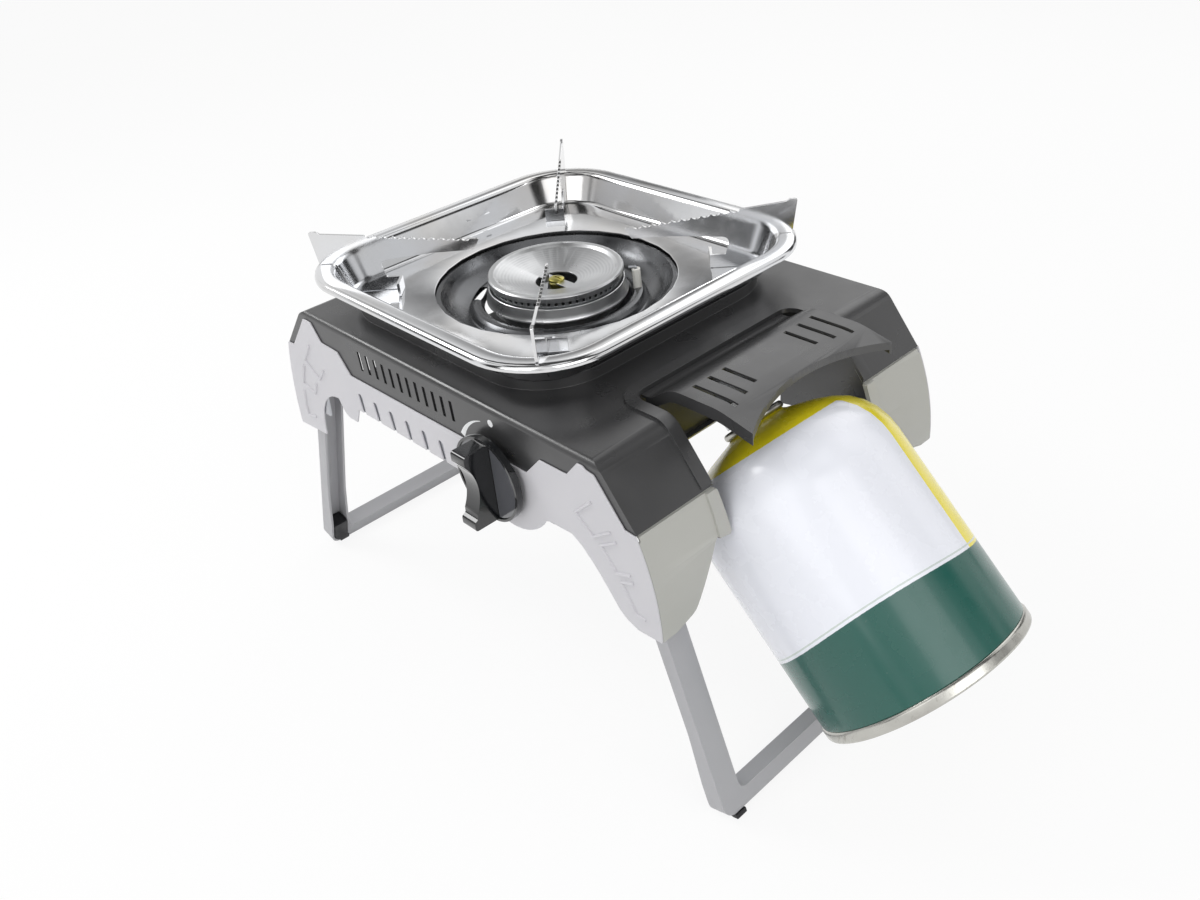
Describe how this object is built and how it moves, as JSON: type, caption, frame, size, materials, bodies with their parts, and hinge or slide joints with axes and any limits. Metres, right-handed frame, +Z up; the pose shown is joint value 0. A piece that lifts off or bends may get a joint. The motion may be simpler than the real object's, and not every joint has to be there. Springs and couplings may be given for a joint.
{
  "type": "portable gas stove",
  "caption": "Tabletop camping stove on folding legs with a round burner, lift-out drip tray with pan supports, a push-and-turn gas knob and a screw-in gas cartridge under an end guard.",
  "frame": {"origin": "on the table under the burner axis, with the legs unfolded", "axes": "+X along the body towards the cartridge, +Y from the knob side to the back, +Z up along the burner axis"},
  "size_m": [0.4408, 0.232, 0.2361],
  "materials": {
    "charcoal_enamel": "satin, fine powder coat on sheet steel",
    "grey_enamel": "satin light grey powder coat",
    "end_enamel": "satin light grey powder coat",
    "leg_enamel": "satin grey powder coat on folded sheet",
    "polished_stainless": "mirror-polished stainless sheet",
    "dark_bowl": "smooth dark gunmetal enamel",
    "cast_aluminium": "fine cast and machined",
    "bright_aluminium": "spun and polished",
    "zinc_steel": "zinc plated sheet and wire",
    "brass": "machined",
    "copper_pipe": "drawn tube",
    "ceramic": "glazed white ceramic",
    "black_gloss": "glossy moulded plastic",
    "black_matte": "moulded plastic",
    "white_plastic": "moulded plastic",
    "red_sleeve": "wire insulation",
    "black_rubber": "moulded",
    "printed_tin": "printed tinplate, plain bands",
    "tinplate": "bare tinplate"
  },
  "bodies": {
    "stove_body": {"top_cover": "charcoal_enamel", "front_panel": "grey_enamel", "back_panel": "grey_enamel", "left_end_panel": "end_enamel", "right_end_panel_front": "end_enamel", "right_end_panel_back": "end_enamel", "base_pan": "zinc_steel", "base_screws": "zinc_steel", "cartridge_guard": "charcoal_enamel", "heat_shield": "charcoal_enamel", "burner_bowl": "dark_bowl", "bowl_clips": "zinc_steel", "burner_mount": "zinc_steel", "burner_body": "cast_aluminium", "burner_collar": "bright_aluminium", "port_ring": "cast_aluminium", "burner_cap": "bright_aluminium", "cap_screw": "brass", "mixing_tube": "cast_aluminium", "gas_jet": "brass", "spark_electrode": "ceramic", "electrode_pin": "zinc_steel", "electrode_lead": "red_sleeve", "piezo_igniter": "white_plastic", "tap_bracket": "zinc_steel", "tap_body": "cast_aluminium", "knob_spring": "zinc_steel", "gas_pipe": "copper_pipe", "pipe_nuts": "brass", "cartridge_adapter": "cast_aluminium", "adapter_nut": "bright_aluminium", "seal_washer": "black_rubber", "leg_brackets": "zinc_steel", "left_leg_pins": "zinc_steel", "right_leg_pins": "zinc_steel"},
    "spindle_push": {"spindle_collar": "zinc_steel"},
    "knob": {"knob": "black_gloss", "tap_spindle": "brass"},
    "left_leg": {"left_leg": "leg_enamel", "left_leg_feet": "black_matte"},
    "right_leg": {"right_leg": "leg_enamel", "right_leg_feet": "black_matte"},
    "tray": {"drip_tray": "polished_stainless", "pan_support_1": "polished_stainless", "pan_support_2": "polished_stainless", "pan_support_3": "polished_stainless", "pan_support_4": "polished_stainless"},
    "cartridge": {"cartridge_can": "printed_tin", "cartridge_valve": "tinplate", "cartridge_base": "tinplate"}
  },
  "joints": [
    {"name": "knob_push", "type": "slide", "parent": "stove_body", "child": "spindle_push", "axis": [0, 1, 0], "range_m": [0, 0.0025], "stiffness_N_per_m": 1200, "springref_m": -0.003, "deforming": ["knob_spring"]},
    {"name": "knob_turn", "type": "hinge", "parent": "spindle_push", "child": "knob", "pos_m": [0.0685, -0.105, 0.157], "axis": [0, -1, 0], "range_deg": [0, 90]},
    {"name": "left_leg_fold", "type": "hinge", "parent": "stove_body", "child": "left_leg", "pos_m": [-0.107, 0, 0.137], "axis": [0, -1, 0], "range_deg": [0, 108.5]},
    {"name": "right_leg_fold", "type": "hinge", "parent": "stove_body", "child": "right_leg", "pos_m": [0.1482, 0, 0.137], "axis": [0, 1, 0], "range_deg": [0, 103]},
    {"name": "tray_lift", "type": "slide", "parent": "stove_body", "child": "tray", "axis": [0, 0, 1], "range_m": [0, 0.06]},
    {"name": "cartridge_draw", "type": "slide", "parent": "stove_body", "child": "cartridge", "axis": [0.7193, 0, -0.6947], "range_m": [0, 0.025]}
  ]
}
